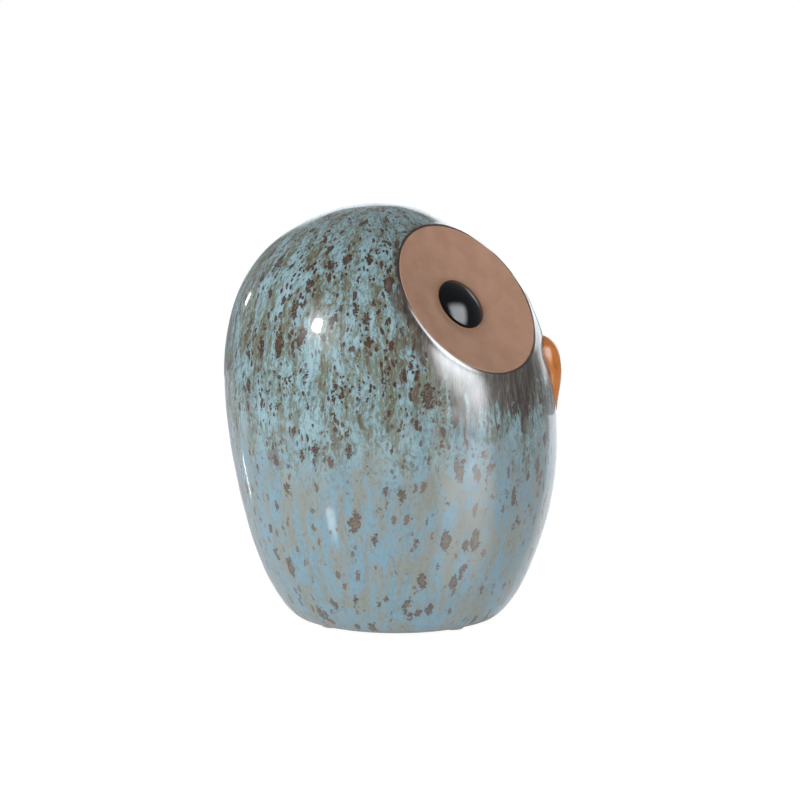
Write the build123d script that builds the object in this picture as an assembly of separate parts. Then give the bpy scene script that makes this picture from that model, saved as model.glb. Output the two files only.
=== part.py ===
from build123d import *
from math import cos, radians, sin
import os

# Owl money bank: a hollow glazed stoneware body with set-in eyes and beak, and a rubber stopper.
#
# Millimetres, +Z up. The owl looks along -Y and its left side is +X. The origin is on the surface
# that the bank stands on, under the middle of the whole bank. The pieces are drawn about the middle
# of the foot, which lies a little in front of it, and are moved to the origin as they are written.

os.makedirs("parts", exist_ok=True)

# ---- Body outline: radius of the round section at each height --------------------------------
FOOT_Z = 1.2                    # underside of the clay foot, standing on the pads
FOOT_AHEAD = 1.5                # how far the foot's middle lies in front of the origin
FOOT_RADIUS = 40.0
FOOT_FLARE = (0.83, 0.55)       # direction in which the side leaves the foot
SIDE = [(46.0, 7.0), (55.5, 26.0), (63.0, 56.0), (65.0, 92.0), (58.0, 125.0), (40.5, 150.0), (22.5, 160.7)]
HEIGHT = 165.0
LEAN = 7.5                      # how far back the crown sits from the middle of the foot
LEAN_START = 40.0               # the body is upright below this height
CROWN_FLAT = 5.0                # radius of the level patch on the crown
SECTIONS = 16                   # round sections that the body is lofted through, below the crown
HEIGHT_STEPS = 400              # steps in which a height is looked up along the outline
CROWN_CROWDING = 1.25           # over 1 sets the sections closer together towards the crown
WALL = 5.0

# ---- Foot -----------------------------------------------------------------------------------
RECESS_RADIUS = 26.0
RECESS_TOP = 4.7                # ceiling of the recess that hides the stopper's flange
FLOOR_TOP = 10.2                # inside floor of the money space
HOLE_RADIUS = 19.0
PAD_RADIUS = 4.5
PAD_CIRCLE = 33.0
PAD_COUNT = 4

# ---- Eyes: each rim lies on a flat that faces forward, outward and up ------------------------
EYE_YAW = 38.2                  # degrees
EYE_TILT = 35.7                 # degrees
EYE_AT = (29.3, -29.3, 130.5)   # middle of the left eye's rim
EYE_RADIUS = 32.7
EYE_HOLLOW = 4.4                # depth of the dish, if it ran on to the middle
RIM_EDGE = 1.0                  # upright edge of the dish below its rim
DISH_WAIST = (29.5, 4.6)        # radius and depth where the back of the dish turns inward
DISH_BACK = (14.0, 9.5)         # radius and depth of its flat back
WELL_RADIUS = 11.2              # radius of the well's floor
WELL_DEPTH = 5.0
WELL_FLARE = 2.4                # how much the well widens for each millimetre of height
PUPIL_RADIUS = 10.5
PUPIL_EDGE = 3.7                # depth below the rim at which the pupil starts to round over
PUPIL_TOP = 0.5
SEAT_GAP = 0.1                  # room for the glaze between the clay pieces

# ---- Beak: half a teardrop laid on the breast ------------------------------------------------
BEAK_TIP_Z = 82.2
BEAK_LENGTH = 31.8
BEAK_SIDE = [(4.0, 3.8), (12.0, 6.6), (20.0, 7.8), (27.0, 6.8)]  # distance up from the tip, radius
BEAK_NOSE = 3.0                 # how far the teardrop's own tip lies below, under the surface
BEAK_TAPER = (0.5, 1.0)         # direction in which its side leaves that tip
BEAK_LEAN = 10.9                # the breast's slope from upright, in degrees
BEAK_SINK = 2.6                 # how far the teardrop's axis lies under the surface
BEAK_SEAT = 1.4                 # depth of its flat back under the surface

# ---- Coin slot, upright in the back of the head ----------------------------------------------
SLOT_LENGTH = 36.0
SLOT_WIDTH = 5.0
SLOT_Z = 129.0

# ---- Stopper --------------------------------------------------------------------------------
FLANGE_RADIUS = 23.5
FLANGE_THICK = 2.2
NECK_RADIUS = 17.9
RIB_GAP = 0.05                  # radial gap between the ribs and the hole
RIB_THICK = 1.6
RIB_PITCH = 2.4
RIB_START = 0.6                 # height of the lowest rib above the recess ceiling
RIB_COUNT = 3
NECK_TOP = 14.0
CUP_RADIUS = 14.6
CUP_TOP = 11.2
TAB_SIZE = (12.0, 3.0)
TAB_BOTTOM = 3.0
TAB_HOLE_RADIUS = 1.6

ON_BASE = (Align.CENTER, Align.CENTER, Align.MIN)   # a primitive standing on the plane it is placed at


def lean(z):
    """Distance that the section at height z lies behind the middle of the foot."""
    t = min(max((z - LEAN_START) / (HEIGHT - LEAN_START), 0), 1)
    return LEAN * t * t * (3 - 2 * t)


def outline():
    """Half outline of the body, from the foot's edge to the crown, as x = radius and y = height."""
    points = [(FOOT_RADIUS, FOOT_Z), *SIDE, (0, HEIGHT)]
    return Spline(*points, tangents=[FOOT_FLARE, (-1, 0)], tangent_scalars=[1, 1])


def body_form(inset, floor):
    """Closed form of the body, its side moved inward by inset and its bottom cut off at floor."""
    curve = outline()
    sections = []
    for i in range(SECTIONS):
        u = 1 - (1 - i / SECTIONS) ** CROWN_CROWDING
        at, along = curve @ u, curve % u
        centre_y = lean(at.Y)
        radius = at.X - inset * along.Y
        height = at.Y + inset * along.X
        sections.append(Pos(0, centre_y, height) * Circle(radius))
    sections.append(Pos(0, LEAN, HEIGHT - inset) * Circle(CROWN_FLAT))
    form = loft(sections)
    keep = Pos(0, 0, floor) * Cylinder(2 * HEIGHT, 2 * HEIGHT, align=ON_BASE)
    return form & keep


def eye_plane(side):
    """Plane of an eye's rim, looking outward. side is +1 for the owl's left eye, -1 for its right."""
    yaw, tilt = radians(EYE_YAW), radians(EYE_TILT)
    x, y, z = EYE_AT
    outward = (side * sin(yaw) * cos(tilt), -cos(yaw) * cos(tilt), sin(tilt))
    return Plane(origin=(side * x, y, z), x_dir=(cos(yaw), side * sin(yaw), 0), z_dir=outward)


def turned(outline_points):
    """Solid of revolution about Z from a closed outline of (radius, height) points."""
    return revolve(Plane.XZ * make_face(Polyline(*outline_points, close=True)), Axis.Z)


def dish_solid():
    """Shallow round dish with a well for the pupil, rim at z = 0 and hollow facing +Z."""
    sphere_radius = (EYE_RADIUS**2 + EYE_HOLLOW**2) / (2 * EYE_HOLLOW)
    waist, back = DISH_WAIST, DISH_BACK
    blank = turned([(0, 0), (EYE_RADIUS, 0), (EYE_RADIUS, -RIM_EDGE), (waist[0], -waist[1]),
                    (back[0], -back[1]), (0, -back[1])])
    hollow = Pos(0, 0, sphere_radius - EYE_HOLLOW) * Sphere(sphere_radius)
    mouth = WELL_RADIUS + WELL_FLARE * WELL_DEPTH
    well = Pos(0, 0, -WELL_DEPTH) * Cone(WELL_RADIUS, mouth, WELL_DEPTH, align=ON_BASE)
    return blank - hollow - well


def pocket_solid(margin, mouth):
    """What a dish needs around it: its back moved outward by margin, running out past the rim."""
    waist, back = DISH_WAIST, DISH_BACK
    edge = RIM_EDGE + margin / 2
    return turned([(0, mouth), (EYE_RADIUS + margin, mouth), (EYE_RADIUS + margin, -edge),
                   (waist[0] + margin, -waist[1] - margin / 2), (back[0] + margin, -back[1] - margin),
                   (0, -back[1] - margin)])


def pupil_solid():
    """Round button that stands in the dish's well, with a domed face."""
    rise = PUPIL_EDGE - PUPIL_TOP
    dome_radius = (PUPIL_RADIUS**2 + rise**2) / (2 * rise)
    button = Pos(0, 0, -WELL_DEPTH) * Cylinder(PUPIL_RADIUS, WELL_DEPTH, align=ON_BASE)
    return button & Pos(0, 0, -PUPIL_TOP - dome_radius) * Sphere(dome_radius)


def beak_plane():
    """Plane on the breast: origin at the beak's tip, local X up along the breast, local Z outward."""
    lean_back = radians(BEAK_LEAN)
    curve = outline()
    shares = (i / HEIGHT_STEPS for i in range(HEIGHT_STEPS + 1))
    u = min(shares, key=lambda share: abs((curve @ share).Y - BEAK_TIP_Z))
    front_y = lean(BEAK_TIP_Z) - (curve @ u).X
    return Plane(origin=(0, front_y, BEAK_TIP_Z), x_dir=(0, sin(lean_back), cos(lean_back)),
                 z_dir=(0, -cos(lean_back), sin(lean_back)))


def beak_solid(gap):
    """Teardrop lying along local X, cut flat at its back and grown by gap."""
    side = [(along, radius + gap) for along, radius in BEAK_SIDE]
    points = [(-BEAK_NOSE - gap, 0), *side, (BEAK_LENGTH + gap, 0)]
    curve = Spline(*points, tangents=[BEAK_TAPER, (0, -1)])
    drop = revolve(make_face([curve, Line(points[-1], points[0])]), Axis.X)
    block = Pos(0, 0, BEAK_SINK - BEAK_SEAT) * Box(*3 * [3 * BEAK_LENGTH], align=ON_BASE)
    return Pos(0, 0, -BEAK_SINK) * (drop & block)


def coin_slot():
    """Round-ended cutter through the back of the head, running along Y."""
    plane = Plane(origin=(0, 0, SLOT_Z), x_dir=(1, 0, 0), z_dir=(0, 1, 0))
    return extrude(plane * SlotOverall(SLOT_LENGTH, SLOT_WIDTH, rotation=90), 2 * FOOT_RADIUS)


def body_shell():
    """The hollow body, with a seat for each eye and the beak, the coin slot and the stopper's hole."""
    body = body_form(0, FOOT_Z)
    money_space = body_form(WALL, FLOOR_TOP)
    for side in (1, -1):
        plane = eye_plane(side)
        above_rim = plane * Cylinder(2 * EYE_RADIUS, 4 * WALL, align=ON_BASE)
        money_space -= plane * pocket_solid(WALL, 4 * WALL)
        body -= above_rim
        body -= plane * pocket_solid(SEAT_GAP, WALL)
    body -= money_space
    body -= beak_plane() * beak_solid(SEAT_GAP)
    body -= coin_slot()
    body -= Cylinder(RECESS_RADIUS, RECESS_TOP, align=ON_BASE)
    body -= Cylinder(HOLE_RADIUS, FLOOR_TOP, align=ON_BASE)
    return body


def stopper():
    """Rubber bung: flange, ribbed neck, and a pull tab inside the hollow underside."""
    flange_bottom = RECESS_TOP - FLANGE_THICK
    rib_radius = HOLE_RADIUS - RIB_GAP
    bung = Pos(0, 0, flange_bottom) * Cylinder(FLANGE_RADIUS, FLANGE_THICK, align=ON_BASE)
    bung += Pos(0, 0, RECESS_TOP) * Cylinder(NECK_RADIUS, NECK_TOP - RECESS_TOP, align=ON_BASE)
    for i in range(RIB_COUNT):
        rib_z = RECESS_TOP + RIB_START + i * RIB_PITCH
        bung += Pos(0, 0, rib_z) * Cylinder(rib_radius, RIB_THICK, align=ON_BASE)
    bung -= Pos(0, 0, flange_bottom) * Cylinder(CUP_RADIUS, CUP_TOP - flange_bottom, align=ON_BASE)
    tab = Pos(0, 0, TAB_BOTTOM) * Box(*TAB_SIZE, CUP_TOP - TAB_BOTTOM, align=ON_BASE)
    hole_z = (TAB_BOTTOM + CUP_TOP) / 2
    tab_hole = Pos(0, 0, hole_z) * Rot(90, 0, 0) * Cylinder(TAB_HOLE_RADIUS, 2 * TAB_SIZE[1])
    return bung + (tab - tab_hole)


def foot_pads():
    """Round pads under the foot, evenly spaced, with their lower faces at z = 0."""
    pad = Cylinder(PAD_RADIUS, FOOT_Z, align=ON_BASE)
    return Compound(children=[
        Rot(0, 0, 45 + i * 360 / PAD_COUNT) * Pos(PAD_CIRCLE, 0, 0) * pad for i in range(PAD_COUNT)])


def main():
    """Build every piece and write it to its own file."""
    pieces = {
        "body_shell": body_shell(),
        "beak": beak_plane() * beak_solid(0),
        "stopper": stopper(),
        "foot_pads": foot_pads(),
    }
    for name, side in (("left", 1), ("right", -1)):
        pieces[f"{name}_eye_dish"] = eye_plane(side) * dish_solid()
        pieces[f"{name}_pupil"] = eye_plane(side) * pupil_solid()
    for node, piece in pieces.items():
        export_step(Pos(0, -FOOT_AHEAD, 0) * piece, f"parts/{node}.step")


main()
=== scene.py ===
import logging
import math
from dataclasses import dataclass
from enum import Enum

import bmesh
import bpy
import numpy as np
from mathutils import Matrix, Quaternion, Vector


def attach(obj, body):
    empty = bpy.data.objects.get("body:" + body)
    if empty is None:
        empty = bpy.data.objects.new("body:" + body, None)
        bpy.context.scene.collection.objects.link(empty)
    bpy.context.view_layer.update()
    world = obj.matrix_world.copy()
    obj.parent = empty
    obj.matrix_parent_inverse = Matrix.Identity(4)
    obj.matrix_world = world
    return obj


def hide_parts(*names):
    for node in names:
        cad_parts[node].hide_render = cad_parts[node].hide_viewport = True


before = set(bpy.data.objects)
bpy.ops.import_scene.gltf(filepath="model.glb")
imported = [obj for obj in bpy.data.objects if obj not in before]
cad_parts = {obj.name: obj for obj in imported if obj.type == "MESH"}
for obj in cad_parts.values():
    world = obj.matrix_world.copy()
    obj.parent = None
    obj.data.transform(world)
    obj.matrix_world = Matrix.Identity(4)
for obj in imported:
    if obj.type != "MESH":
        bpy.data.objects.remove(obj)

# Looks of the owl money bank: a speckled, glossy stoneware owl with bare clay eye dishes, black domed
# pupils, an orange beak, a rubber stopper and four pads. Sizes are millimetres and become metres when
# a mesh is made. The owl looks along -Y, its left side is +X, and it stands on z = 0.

MM = 0.001
Array = np.ndarray
Colour = tuple[float, float, float]
Piece = bpy.types.Object
Material = bpy.types.Material
Socket = bpy.types.NodeSocket
log = logging.getLogger("owl")


class Side(Enum):
    """The owl's own left and right, as the sign of X."""

    LEFT = 1
    RIGHT = -1


class Slot(Enum):
    """Material slots of the part."""

    GLAZE = "glazed_body"
    CLAY = "bare_clay"
    BLACK = "black_glaze"
    ORANGE = "orange_glaze"
    RUBBER = "stopper_rubber"
    PAD = "pad_rubber"


# ---- Numbers and shapes -----------------------------------------------------------------------


def rgb(red: int, green: int, blue: int) -> Colour:
    """Linear colour of a paint-chart colour.

    Args:
        red, green, blue: the chart's values, 0 to 255.

    Returns:
        The same colour in linear light, 0 to 1.
    """
    shares = (red / 255, green / 255, blue / 255)
    return tuple(((v + 0.055) / 1.055) ** 2.4 if v > 0.04 else v / 12.92 for v in shares)


def smooth(value: Array, start: float, end: float) -> Array:
    """Share of the way from start to end, eased at both ends.

    Args:
        value: numbers to place between start and end.
        start: where the share is 0.
        end: where the share is 1.

    Returns:
        The eased shares, 0 to 1.
    """
    t = np.clip((value - start) / (end - start), 0, 1)
    return t * t * (3 - 2 * t)


def clamped_spline(knots: Array, start: Array, end: Array, count: int) -> tuple[Array, Array]:
    """Smooth curve through the knots with set end directions.

    Args:
        knots: points, one a row.
        start: unit direction at the first knot.
        end: unit direction at the last knot.
        count: how many points to return.

    Returns:
        Points spread evenly along the curve, and its direction at each.
    """
    gap = np.linalg.norm(np.diff(knots, axis=0), axis=1)
    step = np.diff(knots, axis=0)
    size = len(knots)
    system, wanted = np.eye(size), np.zeros((size, knots.shape[1]))
    wanted[0], wanted[-1] = start, end
    for i in range(1, size - 1):
        system[i, i - 1 : i + 2] = 1 / gap[i - 1], 2 / gap[i - 1] + 2 / gap[i], 1 / gap[i]
        wanted[i] = 3 * (step[i - 1] / gap[i - 1] ** 2 + step[i] / gap[i] ** 2)
    slope = np.linalg.solve(system, wanted)
    reach = np.concatenate([[0], np.cumsum(gap)])
    along = np.linspace(0, reach[-1], count)
    i = np.clip(np.searchsorted(reach, along, "right") - 1, 0, size - 2)
    g = gap[i][:, None]
    t = (along - reach[i])[:, None] / g
    at = ((2 * t**3 - 3 * t**2 + 1) * knots[i] + (t**3 - 2 * t**2 + t) * g * slope[i]
          + (3 * t**2 - 2 * t**3) * knots[i + 1] + (t**3 - t**2) * g * slope[i + 1])
    way = ((6 * t**2 - 6 * t) * (knots[i] - knots[i + 1]) / g + (3 * t**2 - 4 * t + 1) * slope[i]
           + (3 * t**2 - 2 * t) * slope[i + 1])
    return at, way / np.linalg.norm(way, axis=1)[:, None]


def arc(centre: tuple[float, float], radius: float, start: float, end: float, count: int = 6) -> list:
    """Points of an arc, for a turned outline.

    Args:
        centre: its centre, as radius and height.
        radius: the arc's own radius.
        start: first angle in degrees, from the outward direction.
        end: last angle in degrees.
        count: how many points.

    Returns:
        The points, as (radius, height) pairs.
    """
    angles = np.radians(np.linspace(start, end, count))
    return [(centre[0] + radius * math.cos(a), centre[1] + radius * math.sin(a)) for a in angles]


def linked(name: str, data: bpy.types.ID) -> Piece:
    """Object that shows the data, put in the scene.

    Args:
        name: the object's name.
        data: a mesh, a light or a camera.

    Returns:
        The object.
    """
    piece = bpy.data.objects.new(name, data)
    bpy.context.scene.collection.objects.link(piece)
    return piece


def from_net(net: bmesh.types.BMesh, name: str) -> Piece:
    """Object with a finished net as its mesh.

    Args:
        net: the net, which is used up.
        name: the piece's name.

    Returns:
        The object.
    """
    mesh = bpy.data.meshes.new(name)
    net.to_mesh(mesh)
    net.free()
    return linked(name, mesh)


def new_mesh(name: str, points: Array, faces: list) -> Piece:
    """Object with a smooth mesh, linked to the scene.

    Args:
        name: the piece's name.
        points: corners in millimetres, one a row.
        faces: lists of corner numbers.

    Returns:
        The object.
    """
    mesh = bpy.data.meshes.new(name)
    mesh.from_pydata((np.asarray(points, float) * MM).tolist(), [], faces)
    mesh.validate()
    piece = linked(name, mesh)
    face_outward(piece)
    return piece


def face_outward(piece: Piece) -> None:
    """Turn every face of a closed mesh outward.

    Args:
        piece: the mesh object to mend.
    """
    work = bmesh.new()
    work.from_mesh(piece.data)
    bmesh.ops.remove_doubles(work, verts=work.verts, dist=1e-7)
    bmesh.ops.recalc_face_normals(work, faces=work.faces)
    work.to_mesh(piece.data)
    work.free()


def turned(name: str, outline: list, segments: int = 128) -> Piece:
    """Solid turned about Z.

    Args:
        name: the piece's name.
        outline: (radius, height) pairs from the axis round to the axis again.
        segments: how many steps round.

    Returns:
        The object.
    """
    ends, rings = (outline[0], outline[-1]), outline[1:-1]
    angles = np.arange(segments) * 2 * math.pi / segments
    points = [(r * math.cos(a), r * math.sin(a), z) for r, z in rings for a in angles]
    first, last = len(points), len(points) + 1
    points += [(0, 0, ends[0][1]), (0, 0, ends[1][1])]
    faces = []
    for j in range(segments):
        k = (j + 1) % segments
        faces.append([first, j, k])
        tail = (len(rings) - 1) * segments
        faces.append([last, tail + k, tail + j])
        for i in range(len(rings) - 1):
            low, high = i * segments, (i + 1) * segments
            faces.append([low + j, low + k, high + k, high + j])
    return new_mesh(name, np.array(points), faces)


def prism(name: str, loop: list, near: float, far: float) -> Piece:
    """Plate with a given outline, standing across Y.

    Args:
        name: the piece's name.
        loop: the outline's corners, as (x, z) pairs.
        near: where the plate starts along Y.
        far: where it ends.

    Returns:
        The object.
    """
    count = len(loop)
    points = [(x, y, z) for y in (near, far) for x, z in loop]
    faces = [list(range(count)), list(range(2 * count - 1, count - 1, -1))]
    faces += [[i, i + count, (i + 1) % count + count, (i + 1) % count] for i in range(count)]
    return new_mesh(name, np.array(points), faces)


def apply_modifiers(piece: Piece) -> None:
    """Make what a piece's modifiers do part of its mesh.

    Args:
        piece: the mesh object.
    """
    graph = bpy.context.evaluated_depsgraph_get()
    piece.data = bpy.data.meshes.new_from_object(piece.evaluated_get(graph))
    piece.modifiers.clear()


def carve(piece: Piece, cutters: list[Piece]) -> None:
    """Cut other solids out of a piece and throw them away.

    Args:
        piece: what is cut.
        cutters: closed meshes to take away, each keeping its own finish on the cut face.
    """
    for cutter in cutters:
        cut = piece.modifiers.new(cutter.name, "BOOLEAN")
        cut.operation, cut.solver, cut.object = "DIFFERENCE", "EXACT", cutter
        cut.material_mode = "TRANSFER"
    apply_modifiers(piece)
    for cutter in cutters:
        bpy.data.objects.remove(cutter)


def shade(piece: Piece, sharp_above: float = 35.0) -> None:
    """Smooth shading that keeps real corners crisp.

    Args:
        piece: the mesh object.
        sharp_above: corners steeper than this many degrees stay sharp.
    """
    piece.data.shade_smooth()
    piece.data.set_sharp_from_angle(angle=math.radians(sharp_above))


def ripple(points: Array, size: float, wave: float, seed: int) -> Array:
    """Gentle hand-made unevenness.

    Args:
        points: places in millimetres, one a row.
        size: about how far the surface rises and falls.
        wave: typical length of a wave.
        seed: which pattern.

    Returns:
        The rise at each place.
    """
    rng = np.random.default_rng(seed)
    total = np.zeros(len(points))
    for _ in range(7):
        way = rng.normal(size=3)
        way /= np.linalg.norm(way)
        length = wave * rng.uniform(0.6, 1.9)
        total += np.sin(points @ way * 2 * math.pi / length + rng.uniform(0, 6.3))
    return total * size / 3


@dataclass(frozen=True)
class OwlForm:
    """The egg-shaped body: a round section at each height, drifting back towards the crown."""

    foot_radius: float = 39.0
    foot_z: float = 1.2
    side: tuple = ((41.2, 2.05), (46.0, 7.0), (55.5, 26.0), (63.0, 56.0), (65.0, 92.0), (58.0, 125.0),
                   (40.5, 150.0), (22.5, 160.7))
    height: float = 165.0
    lean_by: float = 7.5
    lean_start: float = 40.0
    foot_ahead: float = 1.5
    samples: int = 1200

    def lean(self, z: Array) -> Array:
        """How far behind the origin the section at height z sits."""
        return self.lean_by * smooth(z, self.lean_start, self.height) - self.foot_ahead

    def outline(self) -> tuple[Array, Array]:
        """Points (radius, height) up the side, and the direction at each."""
        knots = np.array([(self.foot_radius, self.foot_z), *self.side, (0, self.height)])
        return clamped_spline(knots, np.array([1.0, 0.0]), np.array([-1.0, 0.0]), self.samples)

    def surface(self, turn: Array, climb: Array, inset: float = 0.0) -> tuple[Array, Array]:
        """Places on the body.

        Args:
            turn: angle round the body, from +X towards +Y.
            climb: share of the way up the side, 0 at the foot and 1 at the crown.
            inset: how far inside the skin.

        Returns:
            The places and the outward directions.
        """
        at, way = self.outline()
        share = np.linspace(0, 1, self.samples)
        radius, z = (np.interp(climb, share, at[:, k]) for k in (0, 1))
        way_r, way_z = (np.interp(climb, share, way[:, k]) for k in (0, 1))
        out = np.stack([way_z * np.cos(turn), way_z * np.sin(turn), -way_r], -1)
        out /= np.linalg.norm(out, axis=1)[:, None]
        place = np.stack([radius * np.cos(turn), radius * np.sin(turn) + self.lean(z), z], -1)
        return place - inset * out, out


@dataclass(frozen=True)
class EyeSeat:
    """Where an eye sits: the plane of its rim, facing forward, outward and up."""

    side: Side
    yaw: float = 38.2
    tilt: float = 35.7
    at: tuple = (29.3, -30.8, 130.5)
    radius: float = 32.7

    def axes(self) -> tuple[Array, Array, Array, Array]:
        """The eye's own frame.

        Returns:
            Middle of the rim, the directions along and up the rim's plane, and the outward one.
        """
        yaw, tilt, sign = math.radians(self.yaw), math.radians(self.tilt), self.side.value
        level = math.cos(tilt)
        out = np.array([sign * math.sin(yaw) * level, -math.cos(yaw) * level, math.sin(tilt)])
        along = np.array([math.cos(yaw), sign * math.sin(yaw), 0.0])
        return np.array([sign * self.at[0], self.at[1], self.at[2]]), along, np.cross(out, along), out

    def local(self, points: Array) -> tuple[Array, Array, Array]:
        """Places as the eye sees them.

        Args:
            points: places in millimetres, one a row.

        Returns:
            Distance from the eye's axis, angle round it, and height above the rim's plane.
        """
        middle, along, up, out = self.axes()
        off = points - middle
        x, y = off @ along, off @ up
        return np.hypot(x, y), np.arctan2(y, x), off @ out

    def matrix(self) -> Matrix:
        """Where a piece drawn about the origin, facing +Z, goes.

        Returns:
            The move, in metres.
        """
        middle, along, up, out = self.axes()
        rows = np.stack([along, up, out, middle * MM], axis=1)
        return Matrix([*rows.tolist(), [0, 0, 0, 1]])


@dataclass(frozen=True)
class CoinSlot:
    """Round-ended slot, upright in the back of the head."""

    length: float = 36.0
    width: float = 5.0
    z: float = 129.0
    lip: float = 1.3

    def gap(self, points: Array) -> Array:
        """How far places lie from the slot, seen from behind.

        Args:
            points: places in millimetres, one a row.

        Returns:
            Distance outside the slot's edge; negative inside it.
        """
        reach = (self.length - self.width) / 2
        up = np.abs(points[:, 2] - self.z)
        return np.hypot(points[:, 0], np.maximum(up - reach, 0)) - self.width / 2

    def cutter(self) -> Piece:
        """Solid of the slot, running back through the head.

        Returns:
            The solid, in place.
        """
        reach, half = (self.length - self.width) / 2, self.width / 2
        angles = np.radians(np.linspace(0, 180, 17))
        top = [(half * math.cos(a), reach + half * math.sin(a)) for a in angles]
        loop = top + [(-x, -z) for x, z in top]
        return prism("slot_cutter", [(x, self.z + z) for x, z in loop], 30, 90)


@dataclass(frozen=True)
class BeakForm:
    """Half a teardrop laid on the breast, its tip down."""

    tip_z: float = 82.2
    length: float = 31.8
    side: tuple = ((4.0, 3.8), (12.0, 6.6), (20.0, 7.8), (27.0, 6.8))
    nose: float = 3.0
    lean_deg: float = 10.9
    sink: float = 2.6
    seat: float = 1.4

    def axes(self, body: OwlForm) -> tuple[Array, Array, Array]:
        """The beak's own frame.

        Args:
            body: the body it lies on.

        Returns:
            Point at the tip on the breast, the direction up the beak, and the outward one.
        """
        at, _ = body.outline()
        radius = np.interp(self.tip_z, at[:, 1], at[:, 0])
        lean = math.radians(self.lean_deg)
        tip = np.array([0, float(body.lean(np.array(self.tip_z))) - radius, self.tip_z])
        up, out = (0, math.sin(lean), math.cos(lean)), (0, -math.cos(lean), math.sin(lean))
        return tip, np.array(up), np.array(out)

    def outline(self, count: int, grow: float = 0.0) -> Array:
        """Side of the teardrop.

        Args:
            count: how many points.
            grow: how much bigger all round.

        Returns:
            Points, as distance up the beak and radius.
        """
        side = [(along, radius + grow) for along, radius in self.side]
        knots = np.array([(-self.nose - grow, 0), *side, (self.length + grow, 0)])
        start = np.array([0.5, 1]) / math.hypot(0.5, 1)
        return clamped_spline(knots, start, np.array([0.0, -1.0]), count)[0]

    def solid(self, name: str, body: OwlForm, grow: float = 0.0) -> Piece:
        """The beak as a closed mesh, flat at its back.

        Args:
            name: the piece's name.
            body: the body it lies on.
            grow: how much bigger all round.

        Returns:
            The object, in place.
        """
        tip, up, out = self.axes(body)
        across = np.array([1.0, 0, 0])
        back = self.sink - self.seat
        rows, steps = 72, 40
        curve = self.outline(2000, grow)
        inside = curve[curve[:, 1] > back]
        pick = inside[np.unique(np.linspace(0, len(inside) - 1, rows).astype(int))]
        points = []
        for distance, radius in pick:
            half = math.acos(min(1.0, back / radius))
            for angle in np.linspace(-half, half, steps):
                lift = radius * math.cos(angle) - self.sink
                points.append(tip + up * distance + out * lift + across * radius * math.sin(angle))
        count = len(pick)
        faces = [[i * steps + j, i * steps + j + 1, (i + 1) * steps + j + 1, (i + 1) * steps + j]
                 for i in range(count - 1) for j in range(steps - 1)]
        faces += [[i * steps, (i + 1) * steps, (i + 1) * steps + steps - 1, i * steps + steps - 1]
                  for i in range(count - 1)]
        faces += [list(range(steps)), list(range((count - 1) * steps, count * steps))]
        return new_mesh(name, np.array(points), faces)

    def gap(self, points: Array, body: OwlForm) -> Array:
        """Rough distance from the beak's edge, across the breast.

        Args:
            points: places in millimetres, one a row.
            body: the body it lies on.

        Returns:
            The distances; 0 under the beak.
        """
        tip, up, out = self.axes(body)
        off = points - tip
        along, lift, side = off @ up, off @ out, np.abs(points[:, 0])
        curve = self.outline(80)
        edge = np.sqrt(np.maximum(curve[:, 1] ** 2 - self.sink**2, 0))
        keep = edge > 0
        apart = np.hypot(along[:, None] - curve[keep, 0], np.maximum(side[:, None] - edge[keep], 0))
        return apart.min(1) + np.maximum(np.abs(lift) - 12, 0)


# ---- Finishes -----------------------------------------------------------------------------------


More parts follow.
